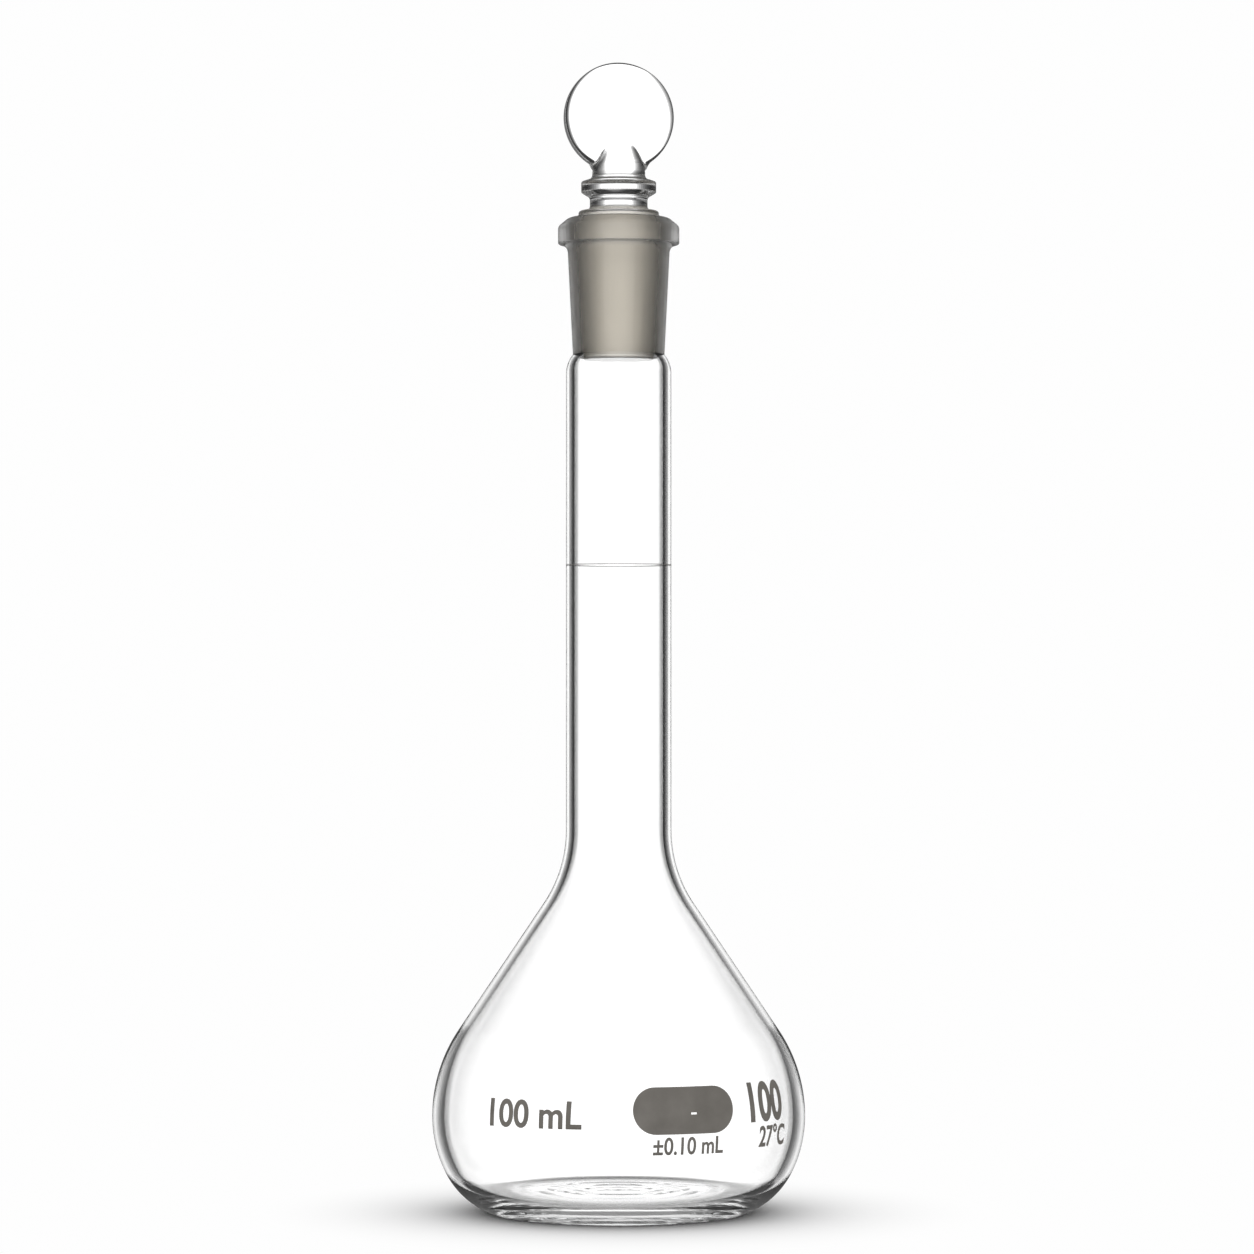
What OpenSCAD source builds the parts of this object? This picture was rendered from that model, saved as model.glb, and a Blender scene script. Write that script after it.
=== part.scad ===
// Volumetric flask with a penny-head stopper seated in its ground mouth.
// Millimetres, +Z up. The origin is the centre of the ring the flask stands on.

/* [Bulb] */
// outside diameter of the bulb at its widest
bulb_d = 62.5; // [60:0.5:66]
// height of the widest place above the table
widest_z = 16.1; // [15.5:0.1:17]
// radius of the arc that runs up from the widest place
upper_arc = 25.5; // [24:0.5:27]
// angle of the straight shoulder to the vertical, degrees
shoulder_angle = 33.9; // [32:0.1:36]
// radius of the inward curve from the shoulder to the neck
neck_sweep = 22; // [18:0.5:25]
// radius of the arc that runs down from the widest place
lower_arc = 21; // [20:0.5:22]
// outside diameter of the ring the flask stands on
foot_d = 43; // [41:0.5:44]
// width of that ring, from its outside to the raised middle
foot_w = 3.6; // [2:0.2:5]
// rise of the hollow under the floor, at the centre
punt_rise = 0.9; // [0.5:0.1:1.2]

/* [Glass thickness] */
// wall of the bulb at its widest
bulb_wall = 1.95; // [1.7:0.05:2.1]
// wall of the shoulder and of the neck
neck_wall = 1.4; // [1.2:0.05:1.6]
// floor at its edge
floor_wall = 2.6; // [2.3:0.1:3]

/* [Neck] */
// outside diameter of the neck
neck_d = 17.7; // [17:0.1:18.5]
// height of the seal between the neck and the ground socket
seal_z = 143.8; // [135:0.2:150]
// radius of the round shoulder just under the seal
top_round = 5; // [4:0.2:6]

/* [Ground joint] */
// wide inside diameter of the ground taper
joint_d = 14.5; // [14.5:0.1:15]
// length of the ground taper
joint_len = 23; // [20:0.5:24]
// glass outside the ground taper
joint_wall = 1.6; // [1.4:0.05:1.8]
// radial gap between the plug and the socket
joint_gap = 0.03; // [0.02:0.01:0.05]
// diameter of the rolled flange at the mouth
flange_d = 20.4; // [20:0.1:22]
// height of the flange's straight outer band
flange_band = 2.5; // [2:0.1:2.7]
// slope of the flange above that band, from the level, degrees
lip_slope = 40; // [35:1:45]

/* [Stopper] */
// how far the plug reaches below the ground taper
plug_nose = 1.1; // [0.6:0.1:1.6]
// diameter of the clear stem between the plug and the collar
stem_d = 9.7; // [9.4:0.1:10.4]
// diameter of the collar
collar_d = 12.6; // [12.2:0.1:13.4]
// diameter of the waist between the collar and the head
waist_d = 8.9; // [8.4:0.1:9.4]
// diameter of the flat round head
head_d = 18.4; // [17.6:0.1:19.6]
// thickness of the head
head_t = 4.8; // [4.4:0.1:5.2]
// rounding of the head's edge
head_round = 1.3; // [0.9:0.1:1.6]
// turn of the head about the axis, from square to the front, degrees
head_turn = 9; // [0:1:45]

/* [Fired marks] */
// height of the graduation line above the table
line_z = 108.4; // [90:0.2:120]
// width of the graduation line
line_w = 0.3; // [0.25:0.05:0.5]
// depth of fired enamel in the glass
enamel_t = 0.12; // [0.1:0.02:0.2]
// length of the writing patch round the bulb
patch_len = 17.6; // [14:0.2:20]
// height of the writing patch
patch_h = 7.6; // [6:0.2:9]
// height of the middle of the patch above the table
patch_z = 19.4; // [18.5:0.1:20.5]
// angle of the middle of the patch round the axis, degrees from the front
patch_turn = 20.6; // [10:0.2:30]

/* [Hidden] */
$fn = 64;

glass = [0.86, 0.9, 0.91, 0.4];
ground_glass = [0.78, 0.76, 0.72, 0.8];
enamel = [0.42, 0.41, 0.38];

bulb_r = bulb_d / 2;
foot_r = foot_d / 2;
neck_r = neck_d / 2;
bore_r = neck_r - neck_wall;
a = shoulder_angle;

// the taper is 1 in 10 on the diameter, as on every standard ground joint
taper = 0.05;
joint_r = joint_d / 2;
small_r = joint_r - taper * joint_len;
seal_r = small_r + joint_wall;
mouth_z = seal_z + joint_len;

// --- outside of the bulb: two arcs down to the foot, one arc up to the shoulder
low_c = [bulb_r - lower_arc, widest_z];
// angle below the level at which the lower arc gives way to the tighter heel
low_turn = 27;
low_dir = [cos(low_turn), -sin(low_turn)];
to_foot = [foot_r, 0] - low_c;
low_step = (to_foot * to_foot - lower_arc * lower_arc) / (2 * (to_foot * low_dir - lower_arc));
heel_arc = lower_arc - low_step;
heel_c = low_c + low_step * low_dir;
heel_end = atan2(-heel_c[1], foot_r - heel_c[0]);

up_c = [bulb_r - upper_arc, widest_z];
cone_low = up_c + upper_arc * [cos(a), sin(a)];
sweep_r = neck_r + neck_sweep * (1 - cos(a));
sweep_z = cone_low[1] + (cone_low[0] - sweep_r) / tan(a);
neck_z = sweep_z + neck_sweep * sin(a);
sweep_c = [neck_r + neck_sweep, neck_z];

// --- round shoulder at the top of the neck, outside and inside
top_in = neck_r - seal_r;
top_z = seal_z - sqrt(2 * top_round * top_in - top_in * top_in);
inner_round = top_round - neck_wall;
bore_in = bore_r - small_r;
bore_z = seal_z - sqrt(2 * inner_round * bore_in - bore_in * bore_in);

// --- inside of the bulb: the same arcs, set in by the glass
in_r = bulb_r - bulb_wall;
in_up = upper_arc + (bulb_wall * cos(a) - neck_wall) / (1 - cos(a));
in_up_c = [in_r - in_up, widest_z];
in_low = lower_arc - bulb_wall;
in_heel = (widest_z - in_low * sin(low_turn) - floor_wall) / (1 - sin(low_turn));
in_heel_c = low_c + (in_low - in_heel) * low_dir;
in_sweep = neck_sweep + neck_wall;

// points on an arc about c, from angle a0 to a1, in n steps
function arc(c, r, a0, a1, n) = [
    for (i = [0:n]) c + r * [cos(a0 + (a1 - a0) * i / n), sin(a0 + (a1 - a0) * i / n)]
];

// points on a shallow dome, from its edge to its centre on the axis
function dome(r, z, rise, n) = [
    for (i = [0:n]) [r * (1 - i / n), z + rise * (1 - (1 - i / n) * (1 - i / n))]
];

// the list without its first or its last point
function but_first(p) = [for (i = [1:len(p) - 1]) p[i]];
function but_last(p) = [for (i = [0:len(p) - 2]) p[i]];

function bulb_outside() = concat(
    arc(heel_c, heel_arc, heel_end, -low_turn, 4),
    but_first(arc(low_c, lower_arc, -low_turn, 0, 3)),
    but_first(arc(up_c, upper_arc, 0, a, 4)),
    arc(sweep_c, neck_sweep, 180 + a, 180, 4)
);

function bulb_inside() = concat(
    arc(sweep_c, in_sweep, 180, 180 + a, 4),
    arc(in_up_c, in_up, a, 0, 4),
    but_first(arc(low_c, in_low, 0, -low_turn, 3)),
    but_first(arc(in_heel_c, in_heel, -low_turn, -90, 5))
);

// The flask is blown in one piece: bulb, shoulder, neck and the round top that takes the socket.
module flask_body() {
    color(glass) difference() {
        rotate_extrude() polygon(concat(
            but_last(dome(foot_r - foot_w, 0, punt_rise, 4)),
            [[0, punt_rise], [0, floor_wall + punt_rise]],
            [for (p = [3:-1:1]) dome(in_heel_c[0], floor_wall, punt_rise, 4)[p]],
            [for (p = [len(bulb_inside()) - 1:-1:0]) bulb_inside()[p]],
            arc([bore_r - inner_round, bore_z], inner_round, 0, acos(1 - bore_in / inner_round), 3),
            arc([neck_r - top_round, top_z], top_round, acos(1 - top_in / top_round), 0, 3),
            [for (p = [len(bulb_outside()) - 1:-1:0]) bulb_outside()[p]]
        ));
        graduation_band(proud = 1);
        patch_shell(proud = 1);
    }
}

// The mouth is a standard ground taper, sealed on in the flame, with a rolled flange.
module ground_socket() {
    cove = 1.5;
    flange_r = flange_d / 2;
    // the lip: a small round over the band, the slope, and a wide round that ends level at the bore
    turn = 90 - lip_slope;
    low_round = 0.9;
    rim_r = joint_r + 0.6;
    // the further the flange reaches out past the rim, the higher the lip is: 38 up for 47 out
    lip_h = (flange_r - rim_r) * 38 / 47;
    slope_r = flange_r - low_round - rim_r;
    rim_round = (low_round + slope_r * cos(turn) - lip_h * sin(turn)) / (1 - sin(turn));
    band_top = mouth_z - lip_h;
    band_low = band_top - flange_band;
    neck_at = seal_r + taper * (band_low - cove - seal_z);
    color(ground_glass) rotate_extrude() polygon(concat(
        [[small_r, seal_z], [seal_r, seal_z]],
        arc([neck_at + cove, band_low - cove], cove, 180, 90, 4),
        [[flange_r - 0.25, band_low], [flange_r, band_low + 0.25]],
        arc([flange_r - low_round, band_top], low_round, 0, turn, 3),
        arc([rim_r, mouth_z - rim_round], rim_round, turn, 90, 3),
        [[joint_r + 0.3, mouth_z], [joint_r, mouth_z - 0.3]]
    ));
}

// The stopper is pressed in one piece: ground plug, stem, collar and penny head.
module stopper() {
    plug_low = seal_z - plug_nose;
    plug_r = small_r - joint_gap;
    // the clear shoulder over the ground plug, as high as it shows above the mouth
    shoulder_z = mouth_z + 0.5;
    shoulder_r = joint_r - 0.5;
    shoulder_round = 0.4;
    shoulder_cove = 0.75;
    stem_r = stem_d / 2;
    // the collar's straight band, and the height at which the stem starts to widen into it
    collar_r = collar_d / 2;
    collar_round = 0.3;
    collar_low = shoulder_z + 3.95;
    collar_top = shoulder_z + 5.35;
    widen_z = shoulder_z + 2.45;
    widen_arc = 0.8;
    waist_r = waist_d / 2;
    waist_cove = 0.9;
    waist_z = shoulder_z + 6.8;
    // the round waist narrows as a cone until it is lost inside the flat head
    root_z = shoulder_z + 7.4;
    root_len = 5.5;
    head_r = head_d / 2;
    head_z = root_z + 1 + sqrt(head_r * head_r - waist_r * waist_r);
    color(ground_glass) union() {
        rotate_extrude() polygon(concat(
            [[0, plug_low], [plug_r - 0.5, plug_low], [plug_r - taper * plug_nose, plug_low + 0.5]],
            [[plug_r + taper * (joint_len - 0.2), mouth_z - 0.2], [shoulder_r + 0.2, mouth_z + 0.2]],
            [[shoulder_r, mouth_z + 0.4]],
            arc([shoulder_r - shoulder_round, shoulder_z + 0.25], shoulder_round, 0, 80, 2),
            arc([stem_r + shoulder_cove, shoulder_z + 1.5], shoulder_cove, 262, 180, 3),
            arc([stem_r + widen_arc, widen_z], widen_arc, 180, 125, 2),
            arc([collar_r - collar_round, collar_low], collar_round, -55, 0, 2),
            arc([collar_r - collar_round, collar_top], collar_round, 0, 62, 2),
            arc([waist_r + waist_cove, waist_z], waist_cove, 240, 180, 2),
            [[waist_r, root_z], [head_t * 0.42, root_z + root_len], [0, root_z + root_len]]
        ));
        translate([0, 0, head_z]) rotate([90, 0, head_turn]) penny(head_r, head_t, head_round);
    }
}

// a flat disc with a rounded edge, centred on the origin and lying in XY
module penny(r, t, q) {
    rotate_extrude() polygon(concat(
        [[0, -t / 2]],
        arc([r - q, q - t / 2], q, -90, 0, 4),
        arc([r - q, t / 2 - q], q, 0, 90, 4),
        [[0, t / 2]]
    ));
}

// the band of glass that the graduation line takes up; proud is for cutting it out
module graduation_band(proud = 0) {
    translate([0, 0, line_z - line_w / 2]) difference() {
        cylinder(h = line_w, r = neck_r + proud);
        translate([0, 0, -1]) cylinder(h = line_w + 2, r = neck_r - enamel_t);
    }
}

// The graduation line runs right round the neck and is fired into it, flush with the glass.
module graduation_ring() {
    color(enamel) graduation_band();
}

// a stadium-shaped bar that points out of the bulb where the patch is
module patch_bar() {
    half = (patch_len - patch_h) / 2;
    rotate([0, 0, patch_turn]) translate([0, 0, patch_z]) rotate([90, 0, 0]) union() {
        translate([-half, 0, 0]) cylinder(h = bulb_d, d = patch_h);
        translate([half, 0, 0]) cylinder(h = bulb_d, d = patch_h);
        translate([-half, -patch_h / 2, 0]) cube([2 * half, patch_h, bulb_d]);
    }
}

// the outer skin of the bulb, as deep as the enamel, inside the patch's outline
module patch_shell(proud = 0) {
    intersection() {
        patch_bar();
        rotate_extrude() polygon(concat(
            arc(low_c, lower_arc + proud, -low_turn, 0, 3),
            but_first(arc(up_c, upper_arc + proud, 0, a, 4)),
            arc(up_c, upper_arc - enamel_t, a, 0, 4),
            but_first(arc(low_c, lower_arc - enamel_t, 0, -low_turn, 3))
        ));
    }
}

// The matt patch for pencil notes is fired into the bulb just above its widest place.
module marking_patch() {
    color(enamel) patch_shell();
}

flask_body();
ground_socket();
stopper();
graduation_ring();
marking_patch();
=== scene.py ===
# %% [markdown]
# # A volumetric flask in clear glass
# A volumetric flask holds one exact volume up to a line on its neck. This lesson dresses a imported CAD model
# of one: a blown bulb with a long neck, a ground mouth sealed on top, a pressed glass stopper and a few
# fired marks. Clear glass has no colour of its own. What we see is what it bends, so most of the work is in
# two places: surfaces that are truly smooth, and a studio that gives the edges something dark to bend.

# %% Load the frame
import math

import bmesh
import bpy
import numpy as np
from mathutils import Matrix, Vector


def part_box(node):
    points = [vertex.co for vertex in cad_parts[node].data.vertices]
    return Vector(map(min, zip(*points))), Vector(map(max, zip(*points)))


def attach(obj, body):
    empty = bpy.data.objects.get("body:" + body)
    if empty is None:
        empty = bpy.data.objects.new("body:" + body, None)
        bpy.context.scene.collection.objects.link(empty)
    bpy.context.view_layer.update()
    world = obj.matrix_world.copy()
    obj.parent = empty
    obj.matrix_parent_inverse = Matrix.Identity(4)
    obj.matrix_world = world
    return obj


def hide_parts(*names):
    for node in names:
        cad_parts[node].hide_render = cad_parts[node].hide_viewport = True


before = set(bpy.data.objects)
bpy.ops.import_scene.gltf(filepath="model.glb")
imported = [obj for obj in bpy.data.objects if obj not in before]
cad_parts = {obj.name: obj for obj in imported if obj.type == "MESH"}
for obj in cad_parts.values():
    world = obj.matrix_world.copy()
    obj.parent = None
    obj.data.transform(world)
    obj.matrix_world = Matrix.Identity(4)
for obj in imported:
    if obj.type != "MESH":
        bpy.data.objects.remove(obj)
bpy.context.view_layer.update()
scene = bpy.context.scene

# %% [markdown]
# ## Sizes
# Lengths are written in millimetres, as a glassblower's drawing gives them, and turned into Blender's
# metres at the last moment. Widths and heights that the frame already knows, such as the seal between neck
# and mouth, are read from its boxes, so the glass always meets where the solids meet.

# %% Sizes that the frame knows
MM = 0.001
bulb_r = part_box("flask_body")[1].x / MM
neck_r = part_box("graduation_ring")[1].x / MM
seal_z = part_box("flask_body")[1].z / MM
mouth_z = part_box("ground_socket")[1].z / MM
flange_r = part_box("ground_socket")[1].x / MM
plug_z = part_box("stopper")[0].z / MM
top_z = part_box("stopper")[1].z / MM
print(f"bulb {2 * bulb_r:.1f} mm wide, neck {2 * neck_r:.1f} mm")
print(f"seal at {seal_z:.1f} mm, mouth at {mouth_z:.1f} mm, top at {top_z:.1f} mm")

# %% [markdown]
# ## Turning a profile
# Blown and turned glass is round, so its natural model is half an outline spun about the axis. A stock
# cylinder or sphere could be stretched to fit, but it would miss the walls, the foot and the rolled rim.
# A spun mesh is only as smooth as its steps, and glass shows every step as a crease in what is seen through
# it, so arcs are cut finely and the spin has 192 steps.

# %% Pieces of an outline
same_spot = 1e-4


def arc(centre, radius, start, end, steps):
    """Points on an arc about centre, from angle start to angle end, in radians."""
    angles = np.linspace(start, end, steps + 1)
    return [(centre[0] + radius * math.cos(t), centre[1] + radius * math.sin(t)) for t in angles]


def line(a, b, steps):
    """Points from a to b, without the first and the last."""
    return [(a[0] + (b[0] - a[0]) * i / steps, a[1] + (b[1] - a[1]) * i / steps) for i in range(1, steps)]


def tidy(points):
    """The outline without points that repeat the one before."""
    kept = [points[0]]
    for point in points[1:]:
        if math.dist(point, kept[-1]) > same_spot:
            kept.append(point)
    return kept


# %% A finished mesh as a piece
def make_piece(bm, name, crease=None):
    """Closes the edit of a mesh and puts it in the scene, shaded smooth below the crease angle."""
    mesh = bpy.data.meshes.new(name)
    if crease is not None:
        bmesh.ops.recalc_face_normals(bm, faces=bm.faces)
    bm.to_mesh(mesh)
    bm.free()
    if crease is not None:
        mesh.shade_smooth()
        mesh.set_sharp_from_angle(angle=math.radians(crease))
    piece = bpy.data.objects.new(name, mesh)
    scene.collection.objects.link(piece)
    print(f"{name}: {len(mesh.vertices)} points, {len(mesh.polygons)} faces")
    return piece


# %% Spin an outline
def spin(name, outline, turns=192, crease=35):
    """A closed solid of revolution from an outline of (radius, height) points in millimetres."""
    outline = tidy(outline)
    if math.dist(outline[0], outline[-1]) < same_spot:
        outline = outline[:-1]
    angles = [2 * math.pi * k / turns for k in range(turns)]
    bm = bmesh.new()
    rings = []
    for r, z in outline:
        around = angles if r > same_spot else [0]
        rings.append([bm.verts.new((r * MM * math.cos(t), r * MM * math.sin(t), z * MM)) for t in around])
    for ring, after in zip(rings, rings[1:] + rings[:1]):
        if len(ring) == 1 and len(after) == 1:
            continue
        for k in range(turns):
            m = (k + 1) % turns
            below = [ring[k % len(ring)], ring[m % len(ring)]]
            above = [after[m % len(after)], after[k % len(after)]]
            bm.faces.new(list(dict.fromkeys(below + above)))
    return make_piece(bm, name, crease)


# %% [markdown]
# ## The blown flask
# The bulb is blown into a turning mould, so its outside is arcs that run into each other: a small heel arc
# from the foot, a low arc up to the widest place, a high arc to the straight shoulder, and a long inward
# sweep to the neck. Written as arcs, the joins stay tangent whatever size is changed, which a hand-drawn
# curve can't promise.

# %% Outside of the bulb and neck
widest_z = 16.1
upper_arc = 25.5
shoulder_angle = math.radians(33.9)
neck_sweep = 22.0
lower_arc = 21.0
low_turn = math.radians(27)
foot_r = 21.5
neck_end = 138.0

low_centre = np.array([bulb_r - lower_arc, widest_z])
low_way = np.array([math.cos(low_turn), -math.sin(low_turn)])
to_foot = np.array([foot_r, 0]) - low_centre
heel_step = (to_foot @ to_foot - lower_arc ** 2) / (2 * (to_foot @ low_way - lower_arc))
heel_centre = low_centre + heel_step * low_way
heel_start = math.atan2(-heel_centre[1], foot_r - heel_centre[0])
upper_centre = np.array([bulb_r - upper_arc, widest_z])
cone_r, cone_z = upper_centre + upper_arc * np.array([math.cos(shoulder_angle), math.sin(shoulder_angle)])
sweep_r = neck_r + neck_sweep * (1 - math.cos(shoulder_angle))
sweep_z = cone_z + (cone_r - sweep_r) / math.tan(shoulder_angle)
neck_start = sweep_z + neck_sweep * math.sin(shoulder_angle)
sweep_centre = (neck_r + neck_sweep, neck_start)
outside = (
    arc(heel_centre, lower_arc - heel_step, heel_start, -low_turn, steps=24)
    + arc(low_centre, lower_arc, -low_turn, 0, steps=20)
    + arc(upper_centre, upper_arc, 0, shoulder_angle, steps=28)
    + line((cone_r, cone_z), (sweep_r, sweep_z), steps=12)
    + arc(sweep_centre, neck_sweep, math.pi + shoulder_angle, math.pi, steps=28)
    + line((neck_r, neck_start), (neck_r, neck_end), steps=20)
)
print(f"heel radius {lower_arc - heel_step:.1f} mm, neck straight from {neck_start:.1f} mm")

# %% [markdown]
# The neck's top is heated and drawn in to meet the narrower mouth, which leaves a soft round shoulder. The
# mouth's taper fixes how wide it is at the seal: one in ten on the diameter, 0.05 on the radius.

# %% Round top of the neck
taper = 0.05
joint_r = 7.25
joint_wall = 1.6
neck_wall = 1.4
top_round = 5.0
small_r = joint_r - taper * (mouth_z - seal_z)
seal_r = small_r + joint_wall
top_rise = math.acos(1 - (neck_r - seal_r) / top_round)
top_centre = (neck_r - top_round, seal_z - top_round * math.sin(top_rise))
outside += arc(top_centre, top_round, 0, top_rise, steps=14)

bore_r = neck_r - neck_wall
in_round = top_round - neck_wall
in_rise = math.acos(1 - (bore_r - small_r) / in_round)
in_centre = (bore_r - in_round, seal_z - in_round * math.sin(in_rise))
inside = arc(in_centre, in_round, in_rise, 0, steps=14)
print(f"bore {2 * bore_r:.1f} mm in the neck, {2 * small_r:.1f} mm at the seal")

# %% [markdown]
# The inside repeats the outside, set in by the glass: 1.95 mm at the widest place, thinning to 1.4 mm in
# the neck. Two walls that bend light in step are what makes the dark lines along a flask's edges, so the
# glass is modelled as a solid with both faces. A single skin would look like a soap bubble.

# %% Inside of the neck and bulb
bulb_wall = 1.95
floor_wall = 2.6
in_r = bulb_r - bulb_wall
in_upper = upper_arc + (bulb_wall * math.cos(shoulder_angle) - neck_wall) / (1 - math.cos(shoulder_angle))
in_upper_centre = (in_r - in_upper, widest_z)
in_lower = lower_arc - bulb_wall
in_heel = (widest_z - in_lower * math.sin(low_turn) - floor_wall) / (1 - math.sin(low_turn))
in_heel_centre = low_centre + (in_lower - in_heel) * low_way
shoulder_top = arc(in_upper_centre, in_upper, shoulder_angle, 0, steps=28)
sweep_in = arc(sweep_centre, neck_sweep + neck_wall, math.pi, math.pi + shoulder_angle, steps=28)
inside += line(inside[-1], sweep_in[0], steps=20) + sweep_in + line(sweep_in[-1], shoulder_top[0], steps=12)
inside += (
    shoulder_top
    + arc(low_centre, in_lower, 0, -low_turn, steps=20)
    + arc(in_heel_centre, in_heel, -low_turn, -math.pi / 2, steps=24)
)
print(f"inside: {2 * in_r:.1f} mm wide, floor {floor_wall} mm thick")

# %% [markdown]
# ## The floor of the flask
# The underside is pushed up a little, so that the flask stands on a ring. The pooled glass above it never
# sets quite flat: it keeps shallow rings, a tenth of a millimetre high, which glitter when one looks
# through them. They could be a bump in the material, but glass bends light by its true shape, so they are
# modelled: two cosine waves of 6.4 and 2.9 mm that die out before the heel.

# %% Rings in the floor, and the whole flask
punt = 0.9
foot_w = 3.6
floor_top = 6.0
wide_wave = 6.4
wide_high = 0.10
wide_start = 0.6
fine_wave = 2.9
fine_high = 0.05
wave_end = 20.5
wave_fade = 4.0
floor_steps = 80
under_steps = 24


def ripple(r):
    """How far the pooled glass stands proud of the floor's dome at this radius, in millimetres."""
    fade = min(max((wave_end - r) / wave_fade, 0), 1)
    wide = wide_high * math.cos(2 * math.pi * r / wide_wave + wide_start)
    fine = fine_high * math.cos(2 * math.pi * r / fine_wave)
    return fade * (wide + fine)


floor_r = inside[-1][0]
for t in np.linspace(0, 1, floor_steps + 1)[1:]:
    inside.append((floor_r * (1 - t), floor_wall + punt * (1 - (1 - t) ** 2)))
inside = [(r, z + ripple(r) if z < floor_top else z) for r, z in inside]
under = [((foot_r - foot_w) * t, punt * (1 - t * t)) for t in np.linspace(0, 1, under_steps + 1)]
flask_glass = spin("flask_body_glass", under + outside + inside)

# %% [markdown]
# ## The ground mouth
# The mouth is a thick tube, ground inside to its taper and sealed on in the flame, with a flange rolled
# outwards for strength. Its outside is as clear and smooth as the neck. The frosted look comes from the
# ground inside, which the round wall magnifies until it fills nearly the whole width.

# %% Outline of the mouth
cove = 1.5
flange_h = 4.4
lip_h = 1.9
rim_turn = math.radians(50)
under_round = 0.25
low_round = 0.9
rim_flat = 0.6
bore_round = 0.35
band_low = mouth_z - flange_h
band_top = mouth_z - lip_h
rim_r = joint_r + rim_flat
under_cove = seal_r + taper * (band_low - cove - seal_z)
rim_reach = (flange_r - low_round - rim_r) * math.cos(rim_turn) - (mouth_z - band_top) * math.sin(rim_turn)
rim_round = (low_round + rim_reach) / (1 - math.sin(rim_turn))
mouth_outline = (
    [(small_r, seal_z), (seal_r, seal_z)]
    + line((seal_r, seal_z), (under_cove, band_low - cove), steps=16)
    + arc((under_cove + cove, band_low - cove), cove, math.pi, math.pi / 2, steps=12)
    + arc((flange_r - under_round, band_low + under_round), under_round, -math.pi / 2, 0, steps=6)
    + arc((flange_r - low_round, band_top), low_round, 0, rim_turn, steps=10)
    + arc((rim_r, mouth_z - rim_round), rim_round, rim_turn, math.pi / 2, steps=10)
    + arc((joint_r + bore_round, mouth_z - bore_round), bore_round, math.pi / 2, math.pi, steps=6)
    + line((joint_r, mouth_z - bore_round), (small_r, seal_z), steps=24)
)
mouth_glass = spin("ground_socket_glass", mouth_outline)
print(f"mouth {2 * joint_r:.1f} mm wide and {mouth_z - seal_z:.1f} mm long, rim round {rim_round:.2f} mm")

# %% [markdown]
# ## The stopper
# A stopper is pressed hot between moulds and its plug is then ground to fit the mouth. From below upwards
# it is a solid plug, a shoulder, a short stem, a collar for the fingers, a waist, and a flat round head.
# Up to the waist it is round, so that much is an outline like the others.

# %% Sizes of the stopper
joint_gap = 0.03
nose_round = 0.5
plug_edge = 0.4
shoulder_r = 6.75
shoulder_round = 0.4
shoulder_foot = 0.2
stem_r = 4.85
stem_cove = 0.75
widen_arc = 0.8
collar_r = 6.3
collar_round = 0.3
waist_r = 4.45
waist_cove = 0.9

plug_top = mouth_z - 0.2
shoulder_z = mouth_z + 0.5
shoulder_low = 0.1
shoulder_high = 0.25
stem_low = 1.5
stem_high = 2.45
collar_low = 3.95
collar_high = 5.35
waist_low = 6.8
root_z = shoulder_z + waist_low
print(f"stopper's shoulder at {shoulder_z:.1f} mm, its waist at {root_z:.1f} mm")


# %% Plug, shoulder, stem and collar
def bow(r, z, radius, start, end, steps=10):
    """An arc of the stopper's outline, with its centre given from the shoulder and angles in degrees."""
    return arc((r, shoulder_z + z), radius, math.radians(start), math.radians(end), steps)


plug_small = small_r - joint_gap
plug_r = plug_small + taper * (plug_top - seal_z)
nose_r = plug_small - taper * (seal_z - plug_z)
stopper_outline = tidy(
    [(0, plug_z)]
    + line((0, plug_z), (nose_r - nose_round, plug_z), steps=6)
    + arc((nose_r - nose_round, plug_z + nose_round), nose_round, -math.pi / 2, 0, steps=6)
    + line((nose_r, plug_z + nose_round), (plug_r, plug_top), steps=24)
    + arc((plug_r - plug_edge, plug_top), plug_edge, 0, math.radians(50), steps=8)
    + bow(shoulder_r + shoulder_foot, shoulder_low, shoulder_foot, 230, 180, steps=4)
    + bow(shoulder_r - shoulder_round, shoulder_high, shoulder_round, 0, 80)
    + bow(stem_r + stem_cove, stem_low, stem_cove, 262, 180)
    + bow(stem_r + widen_arc, stem_high, widen_arc, 180, 125)
    + bow(collar_r - collar_round, collar_low, collar_round, -55, 0)
    + bow(collar_r - collar_round, collar_high, collar_round, 0, 62)
    + bow(waist_r + waist_cove, waist_low, waist_cove, 240, 180, steps=12)
    + [(waist_r, root_z)]
)
print(f"plug {2 * nose_r:.1f} to {2 * plug_r:.1f} mm, with {joint_gap} mm to the mouth")

# %% [markdown]
# The head is a thick round penny. The waist below it is round, and flattens as it rises until it is lost
# inside the penny. Two solids joined by a Boolean would leave a hard crease there, and pressed glass has
# none. So this part is a field: a number for every point that says how far it is outside the glass, with a
# soft minimum where the two shapes meet. As it rises, the waist also draws in and turns from a circle
# towards a rounded square, which has a flat front. The fillet is wide at the narrow sides and small on the
# flat faces, where the waist's own sides show as two short horns. The penny's edge is rounder at the top
# than at the sides, which draws the top of the rim as a thin grey line.

# %% Sizes of the head and the waist
head_r = 9.2
head_t = 4.8
head_round = 1.3
top_extra = 0.7
head_turn = math.radians(9)
head_z = top_z - head_r
round_h = 0.4
turn_h = 1.2
flatten = 0.44
flatten_ease = 0.6
least_depth = 0.5
draw_in = 0.085
least_width = 0.5
squareness = 1.0
face_fillet = 0.5
side_fillet = 2.0
side_reach = 2.2
print(f"head {2 * head_r:.1f} mm across and {head_t} mm thick, centred at {head_z:.1f} mm")


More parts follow.
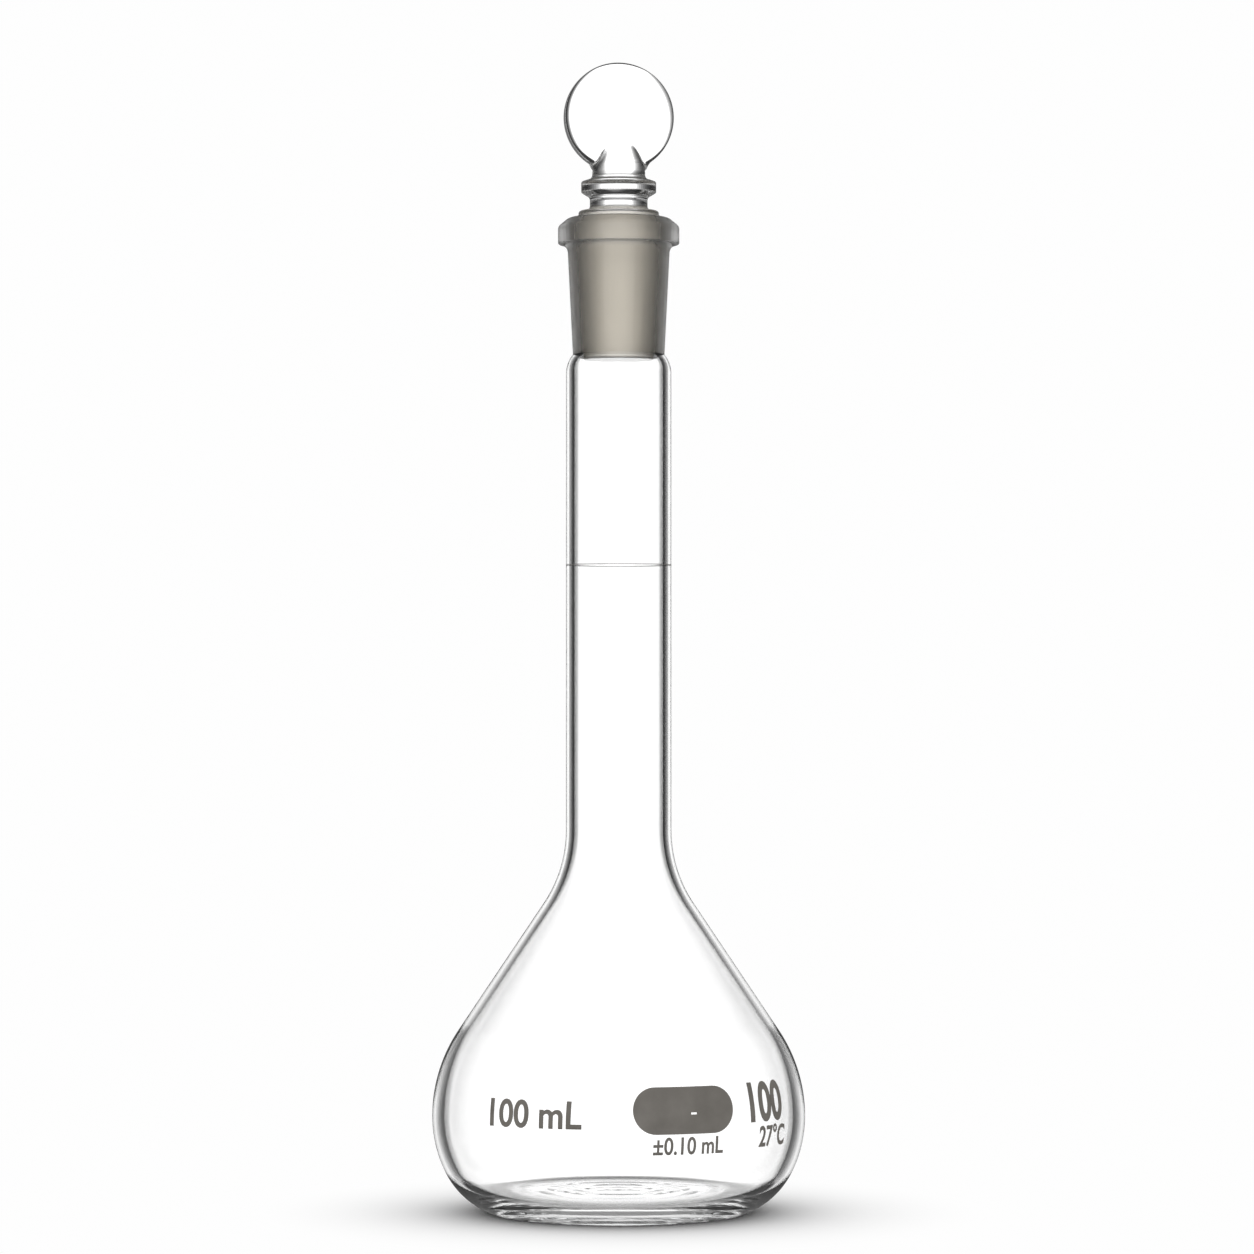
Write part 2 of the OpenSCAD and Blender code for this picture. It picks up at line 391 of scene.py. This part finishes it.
# %% The head as a field
def head_distance(x, y, z):
    """Signed distance, near enough, to the penny head joined smoothly to the flattening waist."""
    across = x * math.cos(head_turn) + y * math.sin(head_turn)
    through = y * math.cos(head_turn) - x * math.sin(head_turn)
    rho = np.sqrt(across ** 2 + (z - head_z) ** 2)
    edge = head_round + top_extra * np.clip((z - head_z) / head_r, 0, 1) ** 2
    u = rho - (head_r - edge)
    v = np.abs(through) - (head_t / 2 - edge)
    penny = np.hypot(np.maximum(u, 0), np.maximum(v, 0)) + np.minimum(np.maximum(u, v), 0) - edge

    risen = np.maximum(z - root_z - round_h, 0)
    half_depth = np.maximum(waist_r - flatten * risen ** 2 / (risen + flatten_ease), least_depth)
    aside = np.abs(across) / np.maximum(1 - draw_in * risen, least_width)
    deep = np.abs(through) * waist_r / half_depth
    power = 2 + squareness * np.clip(risen / turn_h, 0, 1)
    waist = np.maximum((aside ** power + deep ** power) ** (1 / power) - waist_r, z - head_z)

    start = np.clip((z - root_z) / turn_h, 0, 1)
    at_side = np.clip(1 - np.abs(through) / side_reach, 0, 1)
    fillet = (face_fillet + side_fillet * at_side) * start * start * (3 - 2 * start) + 1e-6
    near = np.maximum(fillet - np.abs(penny - waist), 0) / fillet
    return np.minimum(penny, waist) - near * near * fillet / 4


print("field on the axis at the head's middle:", float(head_distance(0.0, 0.0, np.array(head_z))))

# %% [markdown]
# The field becomes rings of points. At each height, every ring point starts from the axis and is moved out
# until the field reads zero, by halving the gap 40 times. The points crowd towards the penny's narrow ends,
# where the surface turns fastest, so its rim stays a clean round.

# %% Rings of the stopper
turns = 240
crowding = 0.42
fine_step = 0.1
fine_levels = 36
head_levels = 90
halvings = 40
out_of_glass = 12.0
sweep = np.linspace(0, 2 * np.pi, turns, endpoint=False)
theta = sweep + head_turn - crowding * np.sin(2 * sweep)


def level_ring(radius, z):
    """One ring of the stopper at height z, with a radius for each direction or one for all."""
    return np.stack([radius * np.cos(theta), radius * np.sin(theta), np.full(turns, z)], 1)


rows = [level_ring(r, z) for r, z in stopper_outline[1:]]
levels = [root_z + fine_step * i for i in range(1, fine_levels + 1)]
first_tilt = math.asin((levels[-1] - head_z) / head_r)
levels += [head_z + head_r * math.sin(t) for t in np.linspace(first_tilt, math.pi / 2, head_levels)[1:-1]]
for z in levels:
    low = np.zeros(turns)
    high = np.full(turns, out_of_glass)
    for _ in range(halvings):
        mid = (low + high) / 2
        in_glass = head_distance(mid * np.cos(theta), mid * np.sin(theta), np.full(turns, z)) < 0
        low = np.where(in_glass, mid, low)
        high = np.where(in_glass, high, mid)
    rows.append(level_ring(low, z))
ridge = (head_t / 2 - head_round - top_extra) * np.sin(sweep)
rows.append(np.stack([-ridge * math.sin(head_turn), ridge * math.cos(head_turn), np.full(turns, top_z)], 1))
print(f"{len(rows)} rings of {turns} points")

# %% The stopper's mesh
bm = bmesh.new()
nose = bm.verts.new((0, 0, plug_z * MM))
rings = [[bm.verts.new(tuple(point * MM)) for point in row] for row in rows]
for k in range(turns):
    bm.faces.new((nose, rings[0][(k + 1) % turns], rings[0][k]))
for ring, after in zip(rings, rings[1:]):
    for k in range(turns):
        m = (k + 1) % turns
        bm.faces.new((ring[k], ring[m], after[m], after[k]))
weld_mm = 0.004
bmesh.ops.remove_doubles(bm, verts=bm.verts, dist=weld_mm * MM)
stopper_glass = make_piece(bm, "stopper_glass", crease=40)

# %% [markdown]
# ## Colours and nodes
# Colours are written as the hex numbers that a paint or glass chart gives. Blender's sockets take linear
# light, so one function turns them. A second small function adds a node, sets it and links it, so that each
# material reads as a short list.

# %% Colour and node helpers
def linear(hex_colour, alpha=1.0):
    """A hex sRGB colour as the linear numbers that Blender's sockets take."""
    parts = [int(hex_colour[i:i + 2], 16) / 255 for i in (1, 3, 5)]
    return tuple(c / 12.92 if c <= 0.04045 else ((c + 0.055) / 1.055) ** 2.4 for c in parts) + (alpha,)


def add(tree, kind, settings=None, **inputs):
    """Adds a node, sets its properties and ramp stops, and sets or links its inputs by name or number."""
    node = tree.nodes.new(kind)
    for key, value in (settings or {}).items():
        if key != "stops":
            setattr(node, key, value)
            continue
        node.color_ramp.elements.remove(node.color_ramp.elements[1])
        for i, (spot, colour) in enumerate(value):
            stop = node.color_ramp.elements[0] if i == 0 else node.color_ramp.elements.new(spot)
            stop.position = spot
            stop.color = colour if isinstance(colour, tuple) else (colour, colour, colour, 1)
    for key, value in inputs.items():
        numbered = key[0] == "i" and key[1:].isdigit()
        socket = node.inputs[int(key[1:])] if numbered else node.inputs[key.replace("_", " ")]
        if isinstance(value, bpy.types.NodeSocket):
            tree.links.new(value, socket)
        else:
            socket.default_value = value
    return node


def new_material(name):
    """An empty node material and its tree."""
    material = bpy.data.materials.new(name)
    material.use_nodes = True
    material.node_tree.nodes.clear()
    return material, material.node_tree


print("white is", linear("#ffffff")[:3])

# %% [markdown]
# ## Clear glass
# Laboratory glass is borosilicate 3.3: low in iron, so colourless even through a thick foot, and a little
# less bending than window glass, with an index of 1.474. Blown and fire-finished faces are as smooth as a
# liquid, so roughness is zero, and every line in it is a true refraction.

# %% Borosilicate, fire finished
INDEX = 1.474
clear_glass, tree = new_material("borosilicate_glass")
shader = add(tree, "ShaderNodeBsdfPrincipled", Base_Color=linear("#ffffff"), Roughness=0.0, IOR=INDEX,
             Transmission_Weight=1.0)
add(tree, "ShaderNodeOutputMaterial", Surface=shader.outputs[0])
print("clear glass: index", INDEX, "and roughness 0")

# %% [markdown]
# ## Ground glass
# The joint is the same glass, ground with carborundum on a turning spindle. The grit leaves a skin of tiny
# pits that scatters what passes, and both faces together turn a warm stone grey. The spindle draws the
# scratches into soft bands along the taper. Pits of 0.05 mm would be too fine to see, so the pattern is
# drawn coarser: about 2.4 mm across the bands, and long along the joint.

# %% Borosilicate, ground
ground_glass, tree = new_material("ground_borosilicate_glass")
place = add(tree, "ShaderNodeTexCoord")
band_mm = 2.4
band_deep_mm = 0.3
drawn_out = 26
band_scale = 1 / (band_mm * MM)
stretch = add(tree, "ShaderNodeMapping", Vector=place.outputs["Object"],
              Scale=(band_scale, band_scale, band_scale / drawn_out))
bands = add(tree, "ShaderNodeTexNoise", Vector=stretch.outputs[0], Scale=1.0, Detail=2.0)
waves = add(tree, "ShaderNodeBump", Height=bands.outputs[0], Strength=0.6, Distance=band_deep_mm * MM)
shader = add(tree, "ShaderNodeBsdfPrincipled", Base_Color=linear("#efebe3"), Roughness=0.55, IOR=INDEX,
             Transmission_Weight=1.0, Normal=waves.outputs[0])
add(tree, "ShaderNodeOutputMaterial", Surface=shader.outputs[0])
print(f"ground bands {band_mm} mm wide")

# %% [markdown]
# ## Dressing the glass
# Only two faces are ground: the inside of the mouth and the side of the plug. They are picked by where they
# are and which way they look, and all other faces keep the clear finish.

# %% Give each face its finish
ground_from = plug_z + 0.9
ground_to = mouth_z + 0.2
past_nose_r = 5.5
for piece in (flask_glass, mouth_glass, stopper_glass):
    piece.data.materials.append(clear_glass)
    piece.data.materials.append(ground_glass)
for face in mouth_glass.data.polygons:
    looks_in = face.normal.x * face.center.x + face.normal.y * face.center.y < 0
    if looks_in and face.center.z < mouth_z * MM:
        face.material_index = 1
for face in stopper_glass.data.polygons:
    on_plug = ground_from * MM < face.center.z < ground_to * MM
    if on_plug and math.hypot(face.center.x, face.center.y) > past_nose_r * MM:
        face.material_index = 1
for piece in (mouth_glass, stopper_glass):
    print(piece.name, sum(face.material_index for face in piece.data.polygons), "ground faces")

# %% Ride on the bodies
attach(flask_glass, "flask")
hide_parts("flask_body")
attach(mouth_glass, "flask")
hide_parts("ground_socket")
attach(stopper_glass, "stopper")
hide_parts("stopper")
print("the stopper rides on its own body, the rest on the flask")

# %% [markdown]
# ## Fired marks
# The marks are screen printed: enamel on a decal, laid round the bulb and fired until it sinks a little
# into the glass. A mark could be a texture, but then it has no edge. Here each one is a flat shape, cut
# finely, wrapped on the bulb's own arcs and given 0.02 mm above the glass and 0.06 mm inside it.

# %% A point on the bulb
def on_bulb(turn, z, proud):
    """The point of the bulb at this turn from the front, in radians, and this height, in millimetres."""
    radius = upper_arc if z > widest_z else lower_arc
    rise = math.asin((z - widest_z) / radius)
    r = bulb_r - radius + (radius + proud) * math.cos(rise)
    height = widest_z + (radius + proud) * math.sin(rise)
    return (r * MM * math.sin(turn), -r * MM * math.cos(turn), height * MM)


print("bulb's widest point at the front:", [round(c, 4) for c in on_bulb(0, widest_z, 0)])


# %% Cut, lay and thicken a mark
cell = 0.5
proud = 0.02
sunk = 0.06


def cut_finely(bm, step, glint_hole):
    """Cuts a flat mesh into cells of this step, in millimetres, and takes a small rectangle out of it, a
    painted glint.
    """
    for axis in (0, 1):
        spread = [v.co[axis] for v in bm.verts]
        cuts = list(np.arange(min(spread) + step, max(spread), step))
        if glint_hole:
            cuts += [glint_hole[axis] - glint_hole[axis + 2] / 2, glint_hole[axis] + glint_hole[axis + 2] / 2]
        for cut in cuts:
            spot = Vector((cut, 0, 0)) if axis == 0 else Vector((0, cut, 0))
            everything = bm.verts[:] + bm.edges[:] + bm.faces[:]
            bmesh.ops.bisect_plane(
                bm, geom=everything, plane_co=spot, plane_no=spot.normalized(), dist=same_spot / 10)
    if glint_hole:
        bare = []
        for face in bm.faces:
            middle = face.calc_center_median()
            if abs(middle.x - glint_hole[0]) < glint_hole[2] / 2 and abs(middle.y - glint_hole[1]) < glint_hole[3] / 2:
                bare.append(face)
        bmesh.ops.delete(bm, geom=bare, context="FACES")
    bmesh.ops.remove_doubles(bm, verts=bm.verts, dist=same_spot)


def double_skin(bm):
    """Adds a back to a flat mesh and walls round its edges, and returns the back's points."""
    bm.normal_update()
    if sum(face.normal.z for face in bm.faces) < 0:
        bmesh.ops.reverse_faces(bm, faces=bm.faces)
    front = bm.faces[:]
    copied = bmesh.ops.duplicate(bm, geom=front)
    twins = copied["vert_map"]
    bmesh.ops.reverse_faces(bm, faces=[g for g in copied["geom"] if isinstance(g, bmesh.types.BMFace)])
    rim = [edge for face in front for edge in face.edges if edge.is_boundary]
    for edge in dict.fromkeys(rim):
        p = edge.link_loops[0].vert
        q = edge.link_loops[0].link_loop_next.vert
        bm.faces.new((q, p, twins[p], twins[q]))
    return {twins[v] for face in front for v in face.verts}


def fire_on(flat, name, degrees, z, glint_hole=None):
    """Lays a flat mark on the bulb, its middle at this turn from the front and this height."""
    bm = bmesh.new()
    bm.from_mesh(flat)
    cut_finely(bm, cell, glint_hole)
    back = double_skin(bm)
    for v in bm.verts:
        r = -on_bulb(0, z + v.co.y, 0)[1] / MM
        v.co = on_bulb(math.radians(degrees) + v.co.x / r, z + v.co.y, -sunk if v in back else proud)
    piece = make_piece(bm, name)
    piece.data.materials.append(enamel)
    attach(piece, "flask")
    return piece


# %% [markdown]
# The ink is a ceramic enamel: glass powder with a warm grey pigment. Fired, it is matt to satin, and thick
# and thin places in the screen leave it faintly cloudy, over patches of about 4 mm.

# %% Fired enamel
enamel, tree = new_material("fired_enamel")
cloud_mm = 4.0
place = add(tree, "ShaderNodeTexCoord")
cloud = add(tree, "ShaderNodeTexNoise",
            Vector=place.outputs["Object"], Scale=1 / (cloud_mm * MM), Detail=4.0)
tint = add(tree, "ShaderNodeValToRGB", {"stops": ((0.3, linear("#64605a")), (0.7, linear("#716d67")))},
           Fac=cloud.outputs[0])
shader = add(tree, "ShaderNodeBsdfPrincipled", Base_Color=tint.outputs[0], Roughness=0.55)
add(tree, "ShaderNodeOutputMaterial", Surface=shader.outputs[0])
print(f"enamel clouds {cloud_mm} mm wide")

# %% [markdown]
# The patch for pencil notes is a rounded bar, with one small dash left bare in it, where the bright field
# behind shows through as a painted glint. The dash is given by its middle, across and up from the patch's
# own, and by its width and height.

# %% Writing patch
patch_l = 17.6
patch_h = 7.6
patch_turn = 20.6
patch_z = 19.4
# The bare dash is a painted glint: the bright field behind shows through the enamel there.
glint_dash = (1.4, -0.5, 1.0, 0.32)
half_bar = (patch_l - patch_h) / 2
rim = [(half_bar + patch_h / 2 * math.cos(t), patch_h / 2 * math.sin(t), 0)
       for t in np.linspace(-math.pi / 2, math.pi / 2, 24)]
rim += [(-x, -y, 0) for x, y, _ in rim]
bar = bpy.data.meshes.new("bar")
bar.from_pydata(rim, [], [tuple(range(len(rim)))])
patch = fire_on(bar, "writing_patch", patch_turn, patch_z, glint_hole=glint_dash)
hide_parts("marking_patch")

# %% [markdown]
# The numbers are plain: the capacity, the temperature it holds at and its tolerance. Blender's text objects
# give clean filled outlines. Each is turned into a mesh, scaled to its height and made narrower, as printed
# numerals on glassware are.

# %% Numbers
def lettering(text, height, squeeze, weight):
    """Flat filled characters of this height, in millimetres, about their own middle."""
    curve = bpy.data.curves.new("lettering", "FONT")
    curve.body = text
    curve.offset = weight
    curve.resolution_u = 8
    holder = bpy.data.objects.new("lettering", curve)
    mesh = bpy.data.meshes.new_from_object(holder)
    bpy.data.objects.remove(holder)
    xs = [v.co.x for v in mesh.vertices]
    ys = [v.co.y for v in mesh.vertices]
    scale = height / (max(ys) - min(ys))
    middle = Vector(((max(xs) + min(xs)) / 2, (max(ys) + min(ys)) / 2, 0))
    for v in mesh.vertices:
        v.co = (v.co - middle) * scale
        v.co.x *= squeeze
    print(f"{text}: {(max(xs) - min(xs)) * scale * squeeze:.1f} mm long, {height} mm high")
    return mesh


# text, name, height, squeeze, weight, degrees from the front, height above the table
for text, name, height, squeeze, weight, degrees, z in (
    ("100", "capacity_number", 6.6, 0.75, 0.03, 51.8, 20.1),
    ("27°C", "temperature_number", 3.7, 0.74, 0.022, 54.3, 14.5),
    ("±0.10 mL", "tolerance_number", 2.9, 0.82, 0.018, 21.8, 13.7),
    ("100 mL", "capacity_in_words", 4.6, 0.95, 0.02, -26.5, 18.7),
):
    fire_on(lettering(text, height, squeeze, weight), name, degrees, z)

# %% [markdown]
# ## The graduation line
# The line is cut right round the neck with a fine wheel and filled with a thin pale enamel, so that it can
# be read from any side. It lets some light through, which is why it is a pale thread and not a black one.

# %% Pale line
line_glaze, tree = new_material("thin_line_enamel")
shader = add(tree, "ShaderNodeBsdfPrincipled", Base_Color=linear("#8c8a86"), Roughness=0.5, Alpha=0.35)
add(tree, "ShaderNodeOutputMaterial", Surface=shader.outputs[0])
line_low, line_high = (corner.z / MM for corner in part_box("graduation_ring"))
inset = (line_high - line_low) * 0.12
glaze_in = neck_r - 0.04
glaze_edge = neck_r + 0.008
glaze_out = neck_r + 0.012
line_ring = spin("graduation_line", [
    (glaze_in, line_low + inset),
    (glaze_edge, line_low + inset),
    (glaze_out, (line_low + line_high) / 2),
    (glaze_edge, line_high - inset),
    (glaze_in, line_high - inset),
])
line_ring.data.materials.append(line_glaze)
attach(line_ring, "flask")
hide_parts("graduation_ring")

# %% [markdown]
# ## Camera
# A flask is drawn and sold straight on, from far enough off that its neck doesn't taper. The camera stands
# 790 mm away at about half the flask's height, looks up by less than a degree, and frames 210.7 mm at the
# axis.

# %% Camera
FRAME_MM = 210.7
REACH_MM = 790.0
EYE_Z = 86.0
AIM_Z = 98.0
AIM_X = 1.4
camera = bpy.data.objects.new("camera", bpy.data.cameras.new("camera"))
scene.collection.objects.link(camera)
scene.camera = camera
camera.data.sensor_width = 36
camera.data.lens = 36 * REACH_MM / FRAME_MM
camera.location = (AIM_X * MM, -REACH_MM * MM, EYE_Z * MM)
camera.rotation_euler = (math.pi / 2 + math.atan((AIM_Z - EYE_Z) / REACH_MM), 0, 0)
camera.data.clip_start = 0.01
camera.data.clip_end = 50
print(f"lens {camera.data.lens:.0f} mm on a 36 mm sensor")

# %% [markdown]
# ## The table
# The flask stands on a matt white board. Close to the foot the board is real paint that takes a soft
# contact shadow. Further out it fades into plain white, so that no horizon shows.
# Light that the glass has bent is another matter. If it saw white in every direction, the flask would
# vanish, so past the foot the board lets bent light through, and the panels behind decide what it finds.
# Under the foot the board glows with painted light, bright in the middle, and painted shade makes it darker
# below the ring that it stands on. Its stops give this light at four distances from the axis, in millimetres.
# A mirrored ray finds only 0.3 of it.

# %% Round board
BOARD_R = 2.0
WHITE = 0.99
PAINT_TO = 24
PLAIN_FROM = 62
rim = [(BOARD_R * math.cos(t), BOARD_R * math.sin(t), 0) for t in np.linspace(0, 2 * math.pi, 97)[:-1]]
board_mesh = bpy.data.meshes.new("board")
board_mesh.from_pydata(rim, [], [tuple(range(len(rim)))])
board = bpy.data.objects.new("board", board_mesh)
scene.collection.objects.link(board)

board_paint, tree = new_material("matt_white_board_and_painted_light")
board.data.materials.append(board_paint)
place = add(tree, "ShaderNodeTexCoord")
out_from_axis = add(tree, "ShaderNodeVectorMath", {"operation": "LENGTH"}, i0=place.outputs["Object"])
fade = add(tree, "ShaderNodeMapRange", {"interpolation_type": "SMOOTHSTEP"},
           Value=out_from_axis.outputs["Value"], From_Min=PAINT_TO * MM, From_Max=PLAIN_FROM * MM)
paint = add(tree, "ShaderNodeBsdfDiffuse", Color=(0.94, 0.94, 0.94, 1))
plain = add(tree, "ShaderNodeEmission", Color=(1, 1, 1, 1), Strength=WHITE)
seen = add(tree, "ShaderNodeMixShader", i0=fade.outputs[0], i1=paint.outputs[0], i2=plain.outputs[0])
print(f"board {2 * BOARD_R} m wide, painted to {PAINT_TO} mm, plain from {PLAIN_FROM} mm")

# %% The board as bent light meets it
LIT_TO = 22
OPEN_FROM = 26
MIRRORED = 0.3
RAMP_MM = 100
# Painted light and painted shade under the foot: a glow, bright in the middle and dimmer below the ring it
# stands on.
PAINTED_LIGHT_UNDER_FOOT = ((0, 1.0), (14.5, 1.0), (20.5, 0.3), (23, 0.5))
path = add(tree, "ShaderNodeLightPath")
bent = add(tree, "ShaderNodeMath", {"operation": "MAXIMUM"},
           i0=path.outputs["Is Glossy Ray"], i1=path.outputs["Is Transmission Ray"])
far = add(tree, "ShaderNodeMath", {"operation": "DIVIDE"},
          i0=out_from_axis.outputs["Value"], i1=RAMP_MM * MM)
stops = [(radius / RAMP_MM, light) for radius, light in PAINTED_LIGHT_UNDER_FOOT]
painted_light_under_foot = add(tree, "ShaderNodeValToRGB", {"stops": stops}, Fac=far.outputs[0])
painted_light_under_foot.color_ramp.interpolation = "EASE"
kept = add(tree, "ShaderNodeMath", {"operation": "MULTIPLY_ADD"},
           i0=path.outputs["Is Transmission Ray"], i1=1 - MIRRORED, i2=MIRRORED)
level = add(tree, "ShaderNodeMath", {"operation": "MULTIPLY"}, i0=painted_light_under_foot.outputs[0], i1=kept.outputs[0])
# The painted light itself: a glow that only bent rays find under the foot.
painted_light_table = add(tree, "ShaderNodeEmission", Color=(1, 1, 1, 1), Strength=level.outputs[0])
open_table = add(tree, "ShaderNodeBsdfTransparent")
past_foot = add(tree, "ShaderNodeMapRange", {"interpolation_type": "SMOOTHSTEP"},
                Value=out_from_axis.outputs["Value"], From_Min=LIT_TO * MM, From_Max=OPEN_FROM * MM)
found = add(tree, "ShaderNodeMixShader",
            i0=past_foot.outputs[0], i1=painted_light_table.outputs[0], i2=open_table.outputs[0])
shown = add(tree, "ShaderNodeMixShader", i0=bent.outputs[0], i1=seen.outputs[0], i2=found.outputs[0])
add(tree, "ShaderNodeOutputMaterial", Surface=shown.outputs[0])
print(f"bent light: lit table to {LIT_TO} mm, open from {OPEN_FROM} mm")

# %% [markdown]
# ## The room
# The room lights the flask evenly from all round, at a level where a colour shows as it is written. Seen
# straight it is white. Light that the glass has bent finds it nearly black, with a little grey overhead,
# which begins 53 degrees up and is full at 70. This is the black card that a glass photographer stands
# round the bright field.

# %% World
DARK = 0.02
OVERHEAD = 0.3
IN_MIRROR = 0.1
ROOM = 1.04
world = bpy.data.worlds.new("studio")
scene.world = world
world.use_nodes = True
world.cycles.sampling_method = "NONE"
tree = world.node_tree
tree.nodes.clear()
path = add(tree, "ShaderNodeLightPath")
bent = add(tree, "ShaderNodeMath", {"operation": "MAXIMUM"},
           i0=path.outputs["Is Glossy Ray"], i1=path.outputs["Is Transmission Ray"])
free = add(tree, "ShaderNodeMath", {"operation": "LESS_THAN"}, i0=path.outputs["Diffuse Depth"], i1=0.5)
by_glass = add(tree, "ShaderNodeMath", {"operation": "MULTIPLY"}, i0=bent.outputs[0], i1=free.outputs[0])
sky = add(tree, "ShaderNodeTexCoord")
height = add(tree, "ShaderNodeSeparateXYZ", Vector=sky.outputs["Generated"])
half_up = add(tree, "ShaderNodeMath", {"operation": "MULTIPLY_ADD"}, i0=height.outputs["Z"], i1=0.5, i2=0.5)
overhead = add(tree, "ShaderNodeValToRGB", {"stops": ((0.0, DARK), (0.9, DARK), (0.97, OVERHEAD))},
               Fac=half_up.outputs[0])
mirrored = add(tree, "ShaderNodeMath", {"operation": "SUBTRACT"},
               i0=1.0, i1=path.outputs["Is Transmission Ray"])
card = add(tree, "ShaderNodeMath", {"operation": "MULTIPLY_ADD"},
           i0=mirrored.outputs[0], i1=IN_MIRROR, i2=overhead.outputs[0])
plain = add(tree, "ShaderNodeMix", {"data_type": "FLOAT"},
            i0=path.outputs["Is Camera Ray"], i2=ROOM, i3=WHITE)
level = add(tree, "ShaderNodeMix", {"data_type": "FLOAT"},
            i0=by_glass.outputs[0], i2=plain.outputs[0], i3=card.outputs[0])
back = add(tree, "ShaderNodeBackground", Color=(1, 1, 1, 1), Strength=level.outputs[0])
add(tree, "ShaderNodeOutputWorld", Surface=back.outputs[0])
print("room", ROOM, "cards", DARK, "to", OVERHEAD)

# %% [markdown]
# ## Panels
# Glass is lit from behind: a bright field that just fills the view, and darkness beside it. What passes
# straight through is white, and at the edges, where the wall bends light aside, the darkness comes into
# view and draws the outline. The panels ride on the camera, so that the flask is drawn as cleanly from any
# other side, as on a turntable. They show only in the glass and put no light on the board.

# %% Make a panel
def panel(name, width, height, place, turn, level, in_mirror=True):
    """A soft white panel carried by the camera, seen only by light that glass has bent or mirrored."""
    lamp = bpy.data.lights.new(name, "AREA")
    lamp.shape = "RECTANGLE"
    lamp.size = width
    lamp.size_y = height
    lamp.energy = level * math.pi * width * height
    holder = bpy.data.objects.new(name, lamp)
    scene.collection.objects.link(holder)
    holder.parent = camera
    holder.location = place
    holder.rotation_euler = turn
    holder.visible_camera = False
    holder.visible_diffuse = False
    holder.visible_glossy = in_mirror


# %% [markdown]
# The bright field has a soft edge: seven panels, one behind the other, each wider and dimmer than the last.
# A hard edge would draw hard lines in the walls, where real ones shade from grey to black. The first panel
# reaches 19 degrees to either side of the flask and 26 up and down, as seen from the flask. Each later one
# reaches at least 2.6 degrees further to the sides and 0.7 up and down.

# %% Bright field behind the flask
reach = REACH_MM * MM
BEHIND = 1.2
APART = 0.01
FULL = 1.3
SHEETS = 7
FALL = 0.62
ASIDE = 19
UPWARDS = 26
share = (1 - FALL) / (1 - FALL ** SHEETS)
for step in range(SHEETS):
    away = BEHIND + APART * step
    half_wide = away * math.tan(math.radians(ASIDE + 2.6 * step + 0.2 * step ** 2))
    half_tall = away * math.tan(math.radians(UPWARDS + 0.7 * step))
    panel(f"back_panel_{step}", 2 * half_wide, 2 * half_tall, (0, 0, -reach - away), (0, math.pi, 0),
          share * FALL ** step * FULL, in_mirror=False)
print(f"{SHEETS} sheets, the widest {2 * half_wide:.1f} m")

# %% [markdown]
# Three more kinds of panel keep the dark edges from going dead: low dim ones at both sides, which lift the
# heel to a mid grey, tall dim ones beside the flask, and one behind the camera for the faint lines that
# run down the front of the neck.

# %% Low panels
LOW_WIDE = 1.1
LOW_TALL = 0.8
LOW_AWAY = 1.1
LOW_LEVEL = 0.16
LOW_ASIDE = math.radians(62)
LOW_DOWN = math.radians(42)
for side in (-1, 1):
    to_side = side * math.sin(LOW_ASIDE) * math.cos(LOW_DOWN)
    to_back = math.cos(LOW_ASIDE) * math.cos(LOW_DOWN)
    way = Vector((to_side, -math.sin(LOW_DOWN), -to_back))
    panel(f"low_panel_{side + 1}", LOW_WIDE, LOW_TALL, Vector((0, 0, -reach)) + LOW_AWAY * way,
          way.to_track_quat("Z", "Y").to_euler(), LOW_LEVEL)
print("low panels", LOW_AWAY, "m from the flask")

# %% Panels at the sides and front
SIDE = 1.3
FRONT = 1.0
TALL = 3.0
FRONT_LEVEL = 0.7
for side, level, start in ((-1, 0.20, 88), (1, 0.17, 92)):
    ahead = SIDE / math.tan(math.radians(start))
    middle = (side * SIDE, 0, (FRONT - reach - ahead) / 2)
    panel(f"side_panel_{side + 1}", FRONT + reach + ahead, TALL, middle, (0, side * math.pi / 2, 0), level)
panel("front_panel", 2 * SIDE, TALL, (0, 0, FRONT), (0, 0, 0), FRONT_LEVEL)
print("side panels", SIDE, "m to either side, front panel", FRONT, "m behind the camera")

# %% [markdown]
# ## Paths of light
# A ray through a stoppered neck crosses a dozen faces before it leaves, so the path limits are raised: cut
# short, it would turn black. Caustics are off, which leaves a soft, plain contact shadow.

# %% Path limits
scene.view_settings.view_transform = "Standard"
scene.cycles.caustics_reflective = False
scene.cycles.caustics_refractive = False
scene.cycles.max_bounces = 32
scene.cycles.transmission_bounces = 32
scene.cycles.glossy_bounces = 16
scene.cycles.transparent_max_bounces = 24
print("paths of up to", scene.cycles.max_bounces, "bounces")

# %% Bring the scene up to date
bpy.context.view_layer.update()
